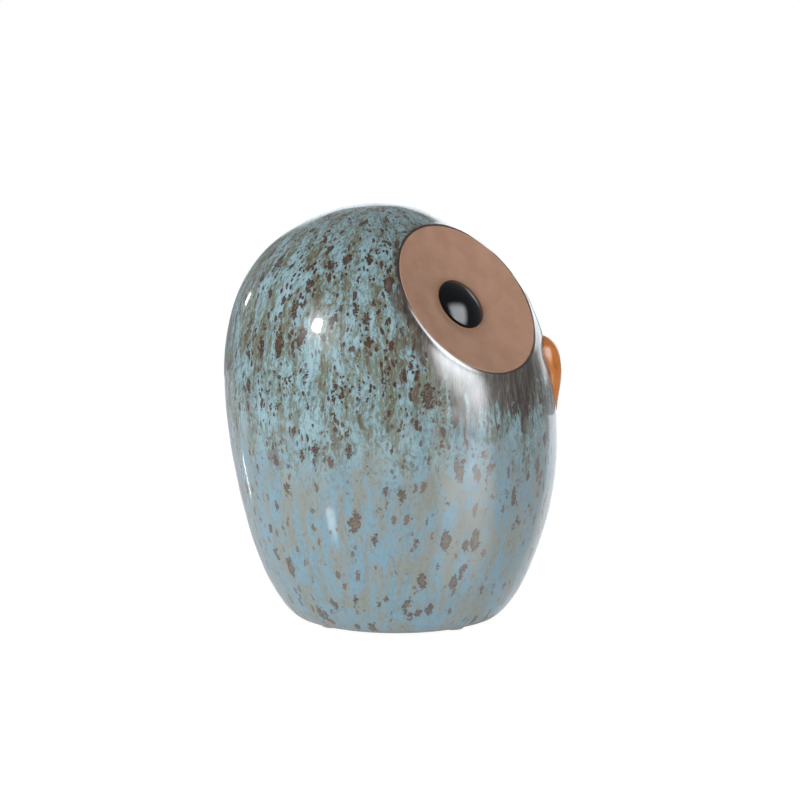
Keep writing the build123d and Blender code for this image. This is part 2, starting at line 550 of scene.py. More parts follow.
class Bench:
    """Wires one procedural material."""

    def __init__(self, name: str) -> None:
        """Start a material with a Principled shader.

        Args:
            name: the material's name.
        """
        self.material = bpy.data.materials.new(name)
        self.material.use_nodes = True
        self.tree = self.material.node_tree
        self.shader = next(n for n in self.tree.nodes if n.type == "BSDF_PRINCIPLED")

    def feed(self, socket: Socket, value: object) -> None:
        """Link a socket to another one, or set it to a plain value.

        Args:
            socket: the socket to fill.
            value: a socket, number, name, vector or colour.
        """
        if isinstance(value, Socket):
            self.tree.links.new(value, socket)
        elif isinstance(value, tuple) and len(value) == 3 and socket.type == "RGBA":
            socket.default_value = (*value, 1)
        else:
            socket.default_value = value

    def add(self, kind: str, settings: dict | None = None, inputs: dict | None = None) -> bpy.types.Node:
        """Add a node.

        Args:
            kind: the node's type name.
            settings: attributes to set on it.
            inputs: socket names or numbers, with what feeds them.

        Returns:
            The node.
        """
        node = self.tree.nodes.new(kind)
        for name, value in (settings or {}).items():
            setattr(node, name, value)
        for name, value in (inputs or {}).items():
            self.feed(node.inputs[name], value)
        return node

    def place(self) -> Socket:
        """Place on the piece, in millimetres."""
        at = self.add("ShaderNodeTexCoord").outputs["Object"]
        return self.add("ShaderNodeVectorMath", {"operation": "SCALE"}, {0: at, "Scale": 1 / MM}).outputs[0]

    def stretch(self, vector: object, x: float, y: float, z: float) -> Socket:
        """The vector times a factor on each axis."""
        node = self.add("ShaderNodeVectorMath", {"operation": "MULTIPLY"}, {0: vector, 1: (x, y, z)})
        return node.outputs[0]

    def fan(self, vector: object) -> Socket:
        """Places squeezed sideways towards the crown, so that a pattern runs down the body from there.

        Args:
            vector: places in millimetres.

        Returns:
            The places, unchanged in height.
        """
        kind = "ShaderNodeVectorMath"
        crown, least, usual, power = (0.0, -4.0, 0.0), 12.0, 60.0, -0.45
        flat = self.add(kind, {"operation": "ADD"}, {0: self.stretch(vector, 1, 1, 0), 1: crown}).outputs[0]
        reach = self.add(kind, {"operation": "LENGTH"}, {0: flat}).outputs["Value"]
        share = self.maths("DIVIDE", self.maths("MAXIMUM", reach, least), usual)
        squeeze = self.maths("POWER", share, power)
        wide = self.add(kind, {"operation": "SCALE"}, {0: flat, "Scale": squeeze}).outputs[0]
        return self.add(kind, {"operation": "ADD"}, {0: wide, 1: self.stretch(vector, 0, 0, 1)}).outputs[0]

    def warp(self, vector: object, wave: float, size: tuple[float, float, float]) -> Socket:
        """The vector pushed about by soft noise.

        Args:
            vector: places in millimetres.
            wave: typical distance between pushes.
            size: how far each axis is pushed.

        Returns:
            The pushed places.
        """
        noise = self.add("ShaderNodeTexNoise", {}, {"Vector": vector, "Scale": 1 / wave, "Detail": 2.0})
        push = self.add("ShaderNodeVectorMath", {"operation": "SUBTRACT"},
                        {0: noise.outputs["Color"], 1: (0.5, 0.5, 0.5)}).outputs[0]
        scaled = self.stretch(push, *size)
        return self.add("ShaderNodeVectorMath", {"operation": "ADD"}, {0: vector, 1: scaled}).outputs[0]

    def noise(self, vector: object, wave: float, detail: float = 4.0, rough: float = 0.55) -> Socket:
        """Cloudy noise, 0 to 1, with features about wave millimetres apart."""
        return self.add("ShaderNodeTexNoise", {}, {"Vector": vector, "Scale": 1 / wave, "Detail": detail,
                                                   "Roughness": rough}).outputs["Fac"]

    def maths(self, kind: str, a: object, b: object) -> Socket:
        """Arithmetic on two numbers, kind being the node's operation."""
        return self.add("ShaderNodeMath", {"operation": kind}, {0: a, 1: b}).outputs[0]

    def plus(self, a: object, b: object) -> Socket:
        """The numbers added."""
        return self.maths("ADD", a, b)

    def times(self, a: object, b: object) -> Socket:
        """The numbers multiplied."""
        return self.maths("MULTIPLY", a, b)

    def swing(self, level: object, width: float) -> Socket:
        """A 0 to 1 level spread over width, with its middle at 0."""
        return self.times(self.maths("SUBTRACT", level, 0.5), width)

    def ease(self, value: object, start: object, end: object, low: float = 0.0, high: float = 1.0) -> Socket:
        """Value eased from one range to another.

        Args:
            value: the number.
            start: where the result is low.
            end: where the result is high.
            low: first result.
            high: last result.

        Returns:
            The eased number.
        """
        node = self.add("ShaderNodeMapRange", {"interpolation_type": "SMOOTHSTEP"},
                        {"Value": value, "From Min": start, "From Max": end, "To Min": low, "To Max": high})
        return node.outputs[0]

    def blend(self, share: object, under: object, over: object) -> Socket:
        """Colour between two colours.

        Args:
            share: how much of the second shows, 0 to 1.
            under: first colour.
            over: second colour.

        Returns:
            The mixed colour.
        """
        node = self.add("ShaderNodeMix", {"data_type": "RGBA", "clamp_factor": True})
        self.feed(node.inputs[0], share)
        self.feed(node.inputs[6], under)
        self.feed(node.inputs[7], over)
        return node.outputs[2]

    def ramp(self, value: object, stops: list[tuple[float, Colour]]) -> Socket:
        """Colour picked from a row of stops.

        Args:
            value: where to pick, 0 to 1.
            stops: places along the row, with their colours.

        Returns:
            The colour.
        """
        node = self.add("ShaderNodeValToRGB", {}, {"Fac": value})
        band = node.color_ramp
        while len(band.elements) < len(stops):
            band.elements.new(1.0)
        for element, (at, colour) in zip(band.elements, stops):
            element.position = at
            element.color = (*colour, 1)
        return node.outputs["Color"]

    def field(self, name: str) -> Socket:
        """A number stored on the mesh's points."""
        return self.add("ShaderNodeAttribute", {"attribute_name": name}).outputs["Fac"]

    def height(self, vector: object) -> Socket:
        """Height above the table, in millimetres."""
        return self.add("ShaderNodeSeparateXYZ", {}, {0: vector}).outputs["Z"]

    def bump(self, level: object, depth: float, strength: float = 1.0) -> Socket:
        """Surface relief of depth millimetres from a 0 to 1 level."""
        inputs = {"Height": level, "Distance": depth * MM, "Strength": strength}
        return self.add("ShaderNodeBump", {}, inputs).outputs[0]

    def specks(self, vector: object, cell: float, least: float, most: float, edge: float,
               ragged: object = 0.0) -> Socket:
        """Scattered blots, 0 outside and 1 inside.

        Args:
            vector: places in millimetres.
            cell: typical distance between blots.
            least: smallest radius as a share of the cell; below 0 leaves some cells empty.
            most: largest radius as a share of the cell.
            edge: width of the soft edge, as a share of the cell.
            ragged: added to the distance, to roughen the outline.

        Returns:
            The blots' strength.
        """
        cells = self.add("ShaderNodeTexVoronoi", {}, {"Vector": vector, "Scale": 1 / cell})
        pick = self.add("ShaderNodeSeparateColor", {}, {0: cells.outputs["Color"]}).outputs[0]
        spread = {"Value": pick, "To Min": least, "To Max": most}
        radius = self.add("ShaderNodeMapRange", {}, spread).outputs[0]
        away = self.plus(cells.outputs["Distance"], ragged)
        inner = self.maths("SUBTRACT", radius, edge)
        return self.ease(away, radius, inner)

    def finish(self, **values: object) -> Material:
        """Set the shader's sockets and return the material.

        Args:
            values: socket names with underscores for spaces, and what feeds them.

        Returns:
            The material.
        """
        for name, value in values.items():
            self.feed(self.shader.inputs[name.replace("_", " ")], value)
        return self.material


@dataclass(frozen=True)
class ReactiveGlaze:
    """Turquoise glaze that breaks to khaki and brown, runs down the body and spits dark specks."""

    sky: Colour = rgb(158, 188, 194)
    blue: Colour = rgb(134, 166, 172)
    mist: Colour = rgb(130, 150, 146)
    khaki: Colour = rgb(120, 124, 104)
    olive: Colour = rgb(92, 80, 58)
    brown: Colour = rgb(90, 48, 29)
    dark: Colour = rgb(38, 19, 11)
    deep_blue: Colour = rgb(130, 165, 180)
    veil: Colour = rgb(148, 152, 142)
    taupe: Colour = rgb(126, 88, 60)
    clay: Colour = rgb(176, 146, 122)

    def material(self) -> Material:
        """Build the glaze.

        Returns:
            The material.
        """
        b = Bench("reactive_glaze")
        place = b.place()
        z = b.height(place)
        run = b.warp(b.fan(place), 13.0, (5.0, 5.0, 7.0))
        edge = b.swing(b.noise(b.stretch(place, 1, 1, 0.5), 16.0, 4.0), 70.0)
        upper = b.ease(b.plus(z, edge), 58.0, 96.0)
        colour = self.ground(b, run, upper)
        colour, relief = self.spit(b, run, upper, colour)
        colour = self.run_off(b, run, colour)
        colour = self.edges(b, place, z, colour)
        fine = b.noise(place, 1.1, 2.0)
        level = b.plus(b.times(relief, 0.7), b.times(fine, 0.35))
        normal = b.bump(level, 0.05, 0.55)
        wavy = b.bump(b.noise(place, 6.0, 3.0), 0.06, 0.5)
        return b.finish(Base_Color=colour, Roughness=0.3, Normal=normal, Coat_Weight=1.0, Coat_Roughness=0.04,
                        Coat_IOR=1.6, Coat_Normal=wavy, IOR=1.45)

    def ground(self, b: Bench, run: object, upper: object) -> Socket:
        """The glaze's own colour, mottled and streaked downward.

        Args:
            b: the bench.
            run: places pushed about.
            upper: 1 on the upper body and 0 low down.

        Returns:
            The colour.
        """
        cloud = b.noise(b.stretch(run, 1, 1, 0.35), 6.5, 4.0, 0.62)
        crowd = b.times(b.maths("SUBTRACT", cloud, b.ease(upper, 0.0, 1.0, 0.56, 0.47)), 0.62)
        grain = b.ease(b.plus(b.noise(b.stretch(run, 1, 1, 0.42), 1.1, 4.0, 0.8), crowd), 0.44, 0.58)
        streak = b.ease(b.noise(b.stretch(run, 1, 1, 0.12), 2.2, 3.0, 0.65), 0.38, 0.62)
        tone = b.plus(b.times(b.ease(cloud, 0.34, 0.66), 0.24), b.times(grain, 0.54))
        tone = b.plus(tone, b.times(streak, 0.22))
        high = b.ramp(tone, [(0.08, self.sky), (0.34, self.blue), (0.56, self.mist), (0.78, self.khaki),
                             (1.0, self.olive)])
        thin = b.noise(b.stretch(run, 1, 1, 0.22), 5.0, 5.0, 0.72)
        low = b.blend(b.ease(thin, 0.42, 0.60), self.deep_blue, self.veil)
        low = b.blend(b.times(grain, 0.30), low, self.khaki)
        return b.blend(upper, low, high)

    def spit(self, b: Bench, run: object, upper: object, colour: object) -> tuple:
        """Specks: fine dots, small blots and large brown ones, paler low down.

        Args:
            b: the bench.
            run: places pushed about.
            upper: 1 on the upper body and 0 low down.
            colour: the colour under the specks.

        Returns:
            The colour with specks, and how strong they are.
        """
        torn = b.warp(run, 1.5, (2.1, 2.1, 3.0))
        ragged = b.swing(b.noise(run, 0.7, 2.0), 0.5)
        crowd = b.ease(b.noise(run, 14.0, 2.0), 0.38, 0.56)
        dots = b.specks(b.stretch(run, 1, 1, 0.6), 1.5, -0.05, 0.54, 0.10, ragged)
        dots = b.times(dots, b.times(b.ease(crowd, 0.0, 1.0, 0.45, 1.0), b.ease(upper, 0.0, 1.0, 0.20, 1.0)))
        blots = b.specks(b.stretch(torn, 1, 1, 0.45), 3.0, -0.08, 0.42, 0.07, b.times(ragged, 0.5))
        spot = b.stretch(b.warp(torn, 2.6, (3.0, 3.0, 4.6)), 1, 1, 0.45)
        large = b.specks(spot, 5.4, 0.02, 0.40, 0.05, b.times(ragged, 0.8))
        core = b.specks(spot, 5.4, -0.10, 0.28, 0.10, b.times(ragged, 1.2))
        halo = b.specks(spot, 5.4, 0.08, 0.55, 0.22, b.times(ragged, 0.5))
        speck_colour = b.blend(upper, self.taupe, self.brown)
        depth = b.ease(b.noise(torn, 0.8, 3.0, 0.7), 0.40, 0.60)
        deep = b.blend(b.times(depth, b.ease(upper, 0.0, 1.0, 0.35, 0.9)), speck_colour, self.dark)
        pale = b.blend(depth, b.blend(0.6, speck_colour, self.khaki), speck_colour)
        rim = b.blend(b.times(core, 0.9), b.blend(0.5, deep, self.dark), pale)
        colour = b.blend(b.times(halo, 0.5), colour, b.blend(upper, self.mist, self.khaki))
        colour = b.blend(dots, colour, b.blend(upper, self.taupe, b.blend(0.5, self.brown, self.dark)))
        colour = b.blend(b.times(blots, b.ease(upper, 0.0, 1.0, 0.75, 0.95)), colour, deep)
        colour = b.blend(b.times(large, b.ease(upper, 0.0, 1.0, 0.85, 0.95)), colour, rim)
        return colour, b.maths("MAXIMUM", b.maths("MAXIMUM", dots, blots), large)

    def run_off(self, b: Bench, run: object, colour: object) -> Socket:
        """Dark glaze that pooled round the eyes and beak and ran down.

        Args:
            b: the bench.
            run: places pushed about.
            colour: the colour under it.

        Returns:
            The colour with the runs.
        """
        drip = b.noise(b.stretch(run, 1, 1, 0.10), 3.6, 4.0, 0.65)
        reach = b.ease(drip, 0.35, 0.66, 4.0, 14.0)
        near = b.ease(b.field("run_off"), reach, b.times(reach, 0.45))
        streak = b.noise(b.stretch(run, 1, 1, 0.09), 1.7, 4.0, 0.7)
        clump = b.noise(b.stretch(run, 1, 1, 0.3), 7.0, 3.0, 0.6)
        mixed = b.plus(b.times(streak, 0.6), b.times(clump, 0.4))
        pool = b.ramp(mixed, [(0.40, rgb(34, 21, 14)), (0.47, rgb(64, 46, 32)), (0.52, rgb(90, 76, 60)),
                              (0.60, rgb(116, 114, 104))])
        return b.blend(b.times(near, 0.95), colour, pool)

    def edges(self, b: Bench, place: object, z: object, colour: object) -> Socket:
        """Thin dark lines at the eyes, beak and slot, and the bare clay under the foot. The lines are glaze
        lines; the one round the beak is also painted shade where the beak sits on the body.

        Args:
            b: the bench.
            place: places in millimetres.
            z: height.
            colour: the colour under them.

        Returns:
            The colour with the edges.
        """
        wobble = b.swing(b.noise(place, 5.0, 2.0), 0.8)
        # Dark glaze lines at the eye rims and the slot; the line along the beak is both a glaze line and
        # painted shade of the beak's seat.
        for name, width in (("rim_gap", 1.15), ("beak_gap", 1.0), ("slot_gap", 1.3)):
            gap = b.plus(b.field(name), wobble)
            colour = b.blend(b.ease(gap, width, width * 0.45), colour, self.dark)
        bare = b.ease(b.plus(z, wobble), 2.0, 1.5)
        grit = b.blend(b.noise(place, 0.9, 3.0), self.clay, rgb(150, 120, 98))
        return b.blend(bare, colour, grit)


@dataclass(frozen=True)
class BareClay:
    """Unglazed, finely sponged clay."""

    name: str
    light: Colour
    deep: Colour
    wave: float = 9.0

    def material(self) -> Material:
        """Build the clay.

        Returns:
            The material.
        """
        b = Bench(self.name)
        place = b.place()
        patch = b.noise(place, self.wave, 4.0, 0.6)
        grit = b.specks(place, 0.9, -0.25, 0.36, 0.12)
        colour = b.blend(b.ease(patch, 0.3, 0.7), self.deep, self.light)
        colour = b.blend(b.times(grit, 0.28), colour, tuple(v * 0.62 for v in self.deep))
        pale = b.specks(b.stretch(place, 1.1, 1.1, 1.1), 1.7, -0.4, 0.22, 0.1)
        colour = b.blend(b.times(pale, 0.22), colour, tuple(min(1.0, v * 1.35) for v in self.light))
        level = b.plus(b.times(b.noise(place, 0.5, 3.0), 0.6), b.times(patch, 0.4))
        return b.finish(Base_Color=colour, Roughness=0.86, Normal=b.bump(level, 0.05, 0.7),
                        Specular_IOR_Level=0.25)


@dataclass(frozen=True)
class PlainGlaze:
    """Smooth, glossy one-colour glaze, thinner and thicker in patches."""

    name: str
    body: Colour
    thin: Colour
    thick: Colour
    rough: float = 0.1

    def material(self) -> Material:
        """Build the glaze.

        Returns:
            The material.
        """
        b = Bench(self.name)
        place = b.place()
        patch = b.noise(b.stretch(place, 1, 1, 0.5), 4.0, 4.0, 0.6)
        colour = b.blend(b.ease(patch, 0.45, 0.75), self.body, self.thick)
        colour = b.blend(b.ease(patch, 0.45, 0.25), colour, self.thin)
        dots = b.specks(place, 1.6, -0.5, 0.20, 0.1)
        colour = b.blend(b.times(dots, 0.35), colour, self.thin)
        wavy = b.bump(b.noise(place, 3.0, 3.0), 0.05, 0.4)
        return b.finish(Base_Color=colour, Roughness=self.rough, Normal=wavy, Coat_Weight=0.22,
                        Coat_Roughness=0.13, Coat_IOR=1.4, Specular_IOR_Level=0.22)


@dataclass(frozen=True)
class SoftRubber:
    """Moulded rubber or silicone with a fine matt skin."""

    name: str
    body: Colour
    dusty: Colour
    rough: float = 0.55

    def material(self) -> Material:
        """Build the rubber.

        Returns:
            The material.
        """
        b = Bench(self.name)
        place = b.place()
        dust = b.noise(place, 5.0, 5.0, 0.65)
        colour = b.blend(b.ease(dust, 0.42, 0.8), self.body, self.dusty)
        level = b.plus(b.noise(place, 0.35, 2.0), b.times(dust, 0.5))
        return b.finish(Base_Color=colour, Roughness=self.rough, Normal=b.bump(level, 0.03, 0.6))


@dataclass(frozen=True)
class Finishes:
    """Every finish on the bank."""

    glaze: Material
    terracotta: Material
    biscuit: Material
    black: Material
    orange: Material
    rubber: Material
    silicone: Material

    @classmethod
    def mixed(cls) -> "Finishes":
        """Make each finish once.

        Returns:
            All of them.
        """
        return cls(
            glaze=ReactiveGlaze().material(),
            terracotta=BareClay("terracotta", rgb(202, 154, 125), rgb(190, 143, 114)).material(),
            biscuit=BareClay("biscuit_clay", rgb(182, 152, 128), rgb(160, 130, 106), 14.0).material(),
            black=PlainGlaze("black_glaze", rgb(11, 11, 13), rgb(20, 17, 16), rgb(6, 6, 8), 0.06).material(),
            orange=PlainGlaze("orange_glaze", rgb(232, 138, 66), rgb(200, 104, 48), rgb(240, 154, 82),
                              0.16).material(),
            rubber=SoftRubber("black_rubber", rgb(34, 33, 33), rgb(62, 60, 58)).material(),
            silicone=SoftRubber("grey_silicone", rgb(186, 184, 178), rgb(206, 204, 199), 0.35).material())


# ---- Pieces ---------------------------------------------------------------------------------------


@dataclass
class Eye:
    """One eye: a bare clay dish with a well, and the glazed pupil that stands in it."""

    seat: EyeSeat
    hollow: float = 4.4
    well_radius: float = 11.2
    well_depth: float = 5.0
    well_flare: float = 2.4
    waist: tuple = (29.5, 4.6)
    back: tuple = (14.0, 9.5)
    rim_edge: float = 1.0
    pupil_radius: float = 10.5
    pupil_edge: float = 3.7
    pupil_top: float = 0.5

    def name(self) -> str:
        """Which eye, as the start of its pieces' names."""
        return self.seat.side.name.lower()

    def dish_height(self, radius: float) -> float:
        """Height of the dish's hollow face at a radius, from the rim's plane."""
        ball = (self.seat.radius**2 + self.hollow**2) / (2 * self.hollow)
        return ball - self.hollow - math.sqrt(ball**2 - radius**2)

    def dish(self) -> Piece:
        """Make the dish, facing +Z.

        Returns:
            The piece, before it is put in place.
        """
        rim, lip, ease = self.seat.radius, 0.35, 0.55
        floor = [(0, -self.well_depth)] + [(r, -self.well_depth) for r in (4, 8, self.well_radius - 0.3)]
        face = []
        for r in np.linspace(self.well_radius, rim - 1.0, 44):
            wall = (r - self.well_radius) / self.well_flare - self.well_depth
            apart = self.dish_height(r) - wall
            drop = 0.5 * (apart + math.hypot(apart, ease)) * (apart > -2.5)
            face.append((r, self.dish_height(r) - drop))
        edge = arc((rim - lip, -lip), lip, 110, 0, 6)
        under = [(rim, -self.rim_edge), (self.waist[0], -self.waist[1]), (self.back[0], -self.back[1]),
                 (0, -self.back[1])]
        piece = turned(f"{self.name()}_eye_dish", floor + face + edge + under, 192)
        mesh = piece.data
        at = np.array([v.co[:] for v in mesh.vertices]) / MM
        radius = np.hypot(at[:, 0], at[:, 1])
        open_face = at[:, 2] > -self.well_depth + 0.3
        open_face &= (radius < rim - 0.8) & (radius > self.well_radius + 1)
        at[open_face, 2] += ripple(at[open_face], 0.08, 16.0, 11 + self.seat.side.value)
        mesh.vertices.foreach_set("co", (at * MM).astype(np.float32).ravel())
        return piece

    def pupil(self) -> Piece:
        """Make the pupil, facing +Z.

        Returns:
            The piece, before it is put in place.
        """
        rise = self.pupil_edge - self.pupil_top
        ball = (self.pupil_radius**2 + rise**2) / (2 * rise)
        slope = math.degrees(math.asin(self.pupil_radius / ball))
        dome = arc((0, -self.pupil_top - ball), ball, 90, 90 - slope + 2.5, 20)
        side, edge, seat = self.pupil_radius, -self.pupil_edge, -self.well_depth
        shoulder = [(side - 0.12, edge + 0.02), (side, edge - 0.3)]
        foot = [(side, seat + 0.25), (side - 0.25, seat), (0, seat)]
        return turned(f"{self.name()}_pupil", dome + shoulder + foot, 128)

    def cutter(self, gap: float = 0.12) -> Piece:
        """Solid of the pocket that takes the dish, open past the rim.

        Args:
            gap: room left round the dish.

        Returns:
            The solid, in place.
        """
        rim = self.seat.radius + gap
        outline = [(0, 6), (rim, 6), (rim, -self.rim_edge - gap), (self.waist[0] + gap, -self.waist[1] - gap),
                   (self.back[0] + gap, -self.back[1] - gap), (0, -self.back[1] - gap)]
        cutter = turned(f"{self.name()}_pocket_cutter", outline, 192)
        cutter.data.transform(self.seat.matrix())
        return cutter

    def build(self, finishes: Finishes) -> list[Piece]:
        """Make both pieces, put them in place and dress them.

        Args:
            finishes: the materials.

        Returns:
            The dish and the pupil.
        """
        made = []
        for kind, piece, material, slot in (("eye_dish", self.dish(), finishes.terracotta, Slot.CLAY),
                                            ("pupil", self.pupil(), finishes.black, Slot.BLACK)):
            piece.data.transform(self.seat.matrix())
            shade(piece, 30)
            made.append(settle(piece, f"{self.name()}_{kind}", material, "bank"))
        return made


def settle(piece: Piece, node: str, material: Material, body: str) -> Piece:
    """Dress a piece and let it ride on its body in place of a CAD node.

    Args:
        piece: the piece, in place.
        node: the CAD node it stands for.
        material: its finish; a piece that has finishes already keeps them.
        body: the body that carries it.

    Returns:
        The piece.
    """
    if not piece.data.materials:
        piece.data.materials.append(material)
    piece.name = f"{node}_piece"
    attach(piece, body)
    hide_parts(node)
    return piece


@dataclass
class BodyShell:
    """The hollow glazed owl: skin, money space, eye pockets, beak seat, coin slot and stopper hole."""

    form: OwlForm
    eyes: tuple[Eye, Eye]
    slot: CoinSlot
    beak: BeakForm
    turns: int = 176
    climbs: int = 108
    wall: float = 5.0
    recess_radius: float = 26.0
    recess_top: float = 4.7
    hole_radius: float = 19.0
    floor_top: float = 10.2

    def skin_grid(self, inset: float, turns: int, climbs: int, refine: bool) -> bmesh.types.BMesh:
        """Flat net of the skin: x is the angle round and y the share of the way up.

        Args:
            inset: how far inside the skin.
            turns: cells round.
            climbs: cells up.
            refine: whether to use finer cells near the eyes, the slot and the beak.

        Returns:
            The net.
        """
        net = bmesh.new()
        cols, rows = np.linspace(0, 2 * math.pi, turns + 1), np.linspace(0, 1, climbs + 1)
        verts = [[net.verts.new((x, y, 0)) for x in cols] for y in rows]
        for i in range(climbs):
            for j in range(turns):
                net.faces.new((verts[i][j], verts[i][j + 1], verts[i + 1][j + 1], verts[i + 1][j]))
        for reach in (5.0, 2.2) if refine else ():
            centres = np.array([f.calc_center_median()[:2] for f in net.faces])
            place, _ = self.form.surface(centres[:, 0], centres[:, 1], inset)
            chosen = self.near_detail(place) < reach
            edges = {e for f, near in zip(net.faces, chosen) if near for e in f.edges}
            bmesh.ops.subdivide_edges(net, edges=list(edges), cuts=1, use_grid_fill=True)
        return net

    def near_detail(self, place: Array) -> Array:
        """How near places are to fine detail: the eyes' rims, the slot and the beak.

        Args:
            place: places in millimetres, one a row.

        Returns:
            Distance from the nearest of them.
        """
        far = 1e3
        best = np.full(len(place), far)
        for eye in self.eyes:
            radius, _, height = eye.seat.local(place)
            best = np.minimum(best, np.abs(radius - eye.seat.radius) + np.maximum(np.abs(height) - 6, 0))
        behind = np.where(place[:, 1] > 20, 0, far)
        best = np.minimum(best, np.abs(self.slot.gap(place)) + behind)
        ahead = np.where(place[:, 1] < -30, 0, far)
        return np.minimum(best, self.beak.gap(place, self.form) + 1.4 + ahead)

    def seat_eyes(self, place: Array) -> Array:
        """Bring the skin to each eye's rim, flatten it inside, and round the glaze at the edge.

        Args:
            place: places on the plain form.

        Returns:
            The new places.
        """
        place = place.copy()
        pull, soft, bead = 19.0, 0.22, 0.16
        for eye in self.eyes:
            out, rim = eye.seat.axes()[3], eye.seat.radius
            radius, angle, height = eye.seat.local(place)
            ring = (np.abs(radius - rim) < 1.2) & (np.abs(height) < 6)
            turns = [f(k * angle) for k in (1, 2, 3) for f in (np.cos, np.sin)]
            waves = np.stack([np.ones_like(angle), *turns], -1)
            basis = np.concatenate([waves, (radius - rim)[:, None]], 1)
            fit = np.linalg.lstsq(basis[ring], height[ring], rcond=None)[0]
            miss = waves @ fit[:-1]
            apart = np.abs(radius - rim) + np.maximum(np.abs(height) - 8, 0)
            close = 1 - smooth(apart, 0.5, pull)
            place -= np.outer(miss * close, out)
            height = height - miss * close
            flat = -soft * np.logaddexp(0, -height / soft)
            lip = bead * np.exp(-(((radius - rim - 1.1) / 0.7) ** 2))
            inside = radius < rim + 9
            place += np.outer(np.where(inside & (height > -4), flat - height + lip, 0), out)
        return place

    def outer_skin(self) -> Piece:
        """Closed skin with glaze-softened details, before anything is cut out of it.

        Returns:
            The skin.
        """
        net = self.skin_grid(0.0, self.turns, self.climbs, True)
        flat = np.array([v.co[:2] for v in net.verts])
        place, out = self.form.surface(flat[:, 0], flat[:, 1])
        calm = smooth(place[:, 2], 3, 12)
        place += out * (ripple(place, 0.10, 24.0, 5) * calm)[:, None]
        place = self.seat_eyes(place)
        gap = self.slot.gap(place)
        fall = np.clip(1 - gap / self.slot.lip, 0, 1)
        dip = self.slot.lip * (1 - np.sqrt(1 - np.minimum(fall, 0.999) ** 2)) * (place[:, 1] > 20)
        place -= out * dip[:, None]
        return self.closed(net, place, "body_shell")

    def inner_form(self) -> Piece:
        """Closed form of the money space, flat-floored and set back behind the eyes.

        Returns:
            The solid, in place.
        """
        net = self.skin_grid(self.wall, 72, 60, False)
        flat = np.array([v.co[:2] for v in net.verts])
        place, _ = self.form.surface(flat[:, 0], flat[:, 1], self.wall)
        for eye in self.eyes:
            _, _, height = eye.seat.local(place)
            depth = eye.back[1] + self.wall
            place -= np.outer(np.maximum(height + depth, 0), eye.seat.axes()[3])
        place[:, 2] = np.maximum(place[:, 2], self.floor_top)
        return self.closed(net, place, "money_space_cutter")

    @staticmethod
    def closed(net: bmesh.types.BMesh, place: Array, name: str) -> Piece:
        """Bend a flat net into shape, sew it up and fill its foot.

        Args:
            net: the net, which is used up.
            place: where each of its corners goes.
            name: the piece's name.

        Returns:
            The closed piece, its faces outward.
        """
        for vert, at in zip(net.verts, place * MM):
            vert.co = at
        bmesh.ops.remove_doubles(net, verts=net.verts, dist=1e-6)
        bmesh.ops.holes_fill(net, edges=[e for e in net.edges if e.is_boundary], sides=0)
        bmesh.ops.recalc_face_normals(net, faces=net.faces)
        return from_net(net, name)

    def foot_cutter(self) -> Piece:
        """Solid of the recess and the stopper's hole, with softened corners.

        Returns:
            The solid, in place.
        """
        soft, rim, hole, top = 0.7, self.recess_radius, self.hole_radius, self.recess_top
        outline = [(0, -1), (rim + soft, -1), (rim + soft, self.form.foot_z)]
        outline += arc((rim + soft, self.form.foot_z + soft), soft, 270, 180, 6)
        outline += arc((rim - 0.8, top - 0.8), 0.8, 0, 90, 5)
        outline += arc((hole + 0.4, top + 0.4), 0.4, 270, 180, 5)
        outline += [(hole, self.floor_top + 3), (0, self.floor_top + 3)]
        cutter = turned("foot_cutter", outline, 160)
        cutter.data.transform(Matrix.Translation((0, -self.form.foot_ahead * MM, 0)))
        return cutter

    def measure(self, piece: Piece) -> None:
        """Store on each point how far it is from the eyes' rims, the beak, the slot and the run-off.

        Args:
            piece: the finished shell.
        """
        mesh = piece.data
        at = np.empty(len(mesh.vertices) * 3, np.float32)
        mesh.vertices.foreach_get("co", at)
        at = at.reshape(-1, 3).astype(float) / MM
        far, fall, spread, first = 99.0, 0.36, 1.65, 4
        rim_gap, run_off = np.full(len(at), far), np.full(len(at), far)
        for eye in self.eyes:
            radius, _, height = eye.seat.local(at)
            here = radius - eye.seat.radius + np.maximum(np.abs(height) - 9, 0)
            rim_gap = np.minimum(rim_gap, np.where(here > -2, np.abs(here), far))
            for rise in np.arange(first, 44, 1.5):
                radius, _, height = eye.seat.local(at + [0, 0, rise])
                beside = np.maximum(radius - eye.seat.radius, 0) + np.maximum(np.abs(height) - 18, 0)
                run_off = np.minimum(run_off, (rise - first) * fall + beside * spread)
        ahead, behind = np.where(at[:, 1] < -30, 0, far), np.where(at[:, 1] > 20, 0, far)
        beak_gap = self.beak.gap(at, self.form) + ahead
        for rise in np.arange(0, 22, 2.0):
            beside = self.beak.gap(at + [0, 0, rise], self.form) * 1.4
            run_off = np.minimum(run_off, beside + rise * 0.6 + 2 + ahead)
        slot_gap = np.abs(self.slot.gap(at)) + behind
        for name, values in (("rim_gap", rim_gap), ("run_off", run_off), ("beak_gap", beak_gap),
                             ("slot_gap", slot_gap)):
            held = mesh.attributes.new(name, "FLOAT", "POINT")
            held.data.foreach_set("value", values.astype(np.float32))

    def build(self, finishes: Finishes) -> list[Piece]:
        """Make the shell and dress it.

        Args:
            finishes: the materials.

        Returns:
            The shell alone, in a list.
        """
        shell = self.outer_skin()
        shell.data.materials.append(finishes.glaze)
        inside, foot, slot = self.inner_form(), self.foot_cutter(), self.slot.cutter()
        beak = self.beak.solid("beak_cutter", self.form, 0.12)
        cutters = [inside, foot, slot, beak, *(eye.cutter() for eye in self.eyes)]
        for cutter in cutters:
            cutter.data.materials.append(finishes.glaze if cutter in (slot, beak) else finishes.biscuit)
        carve(shell, cutters)
        self.measure(shell)
        shade(shell, 38)
        return [settle(shell, "body_shell", finishes.glaze, "bank")]


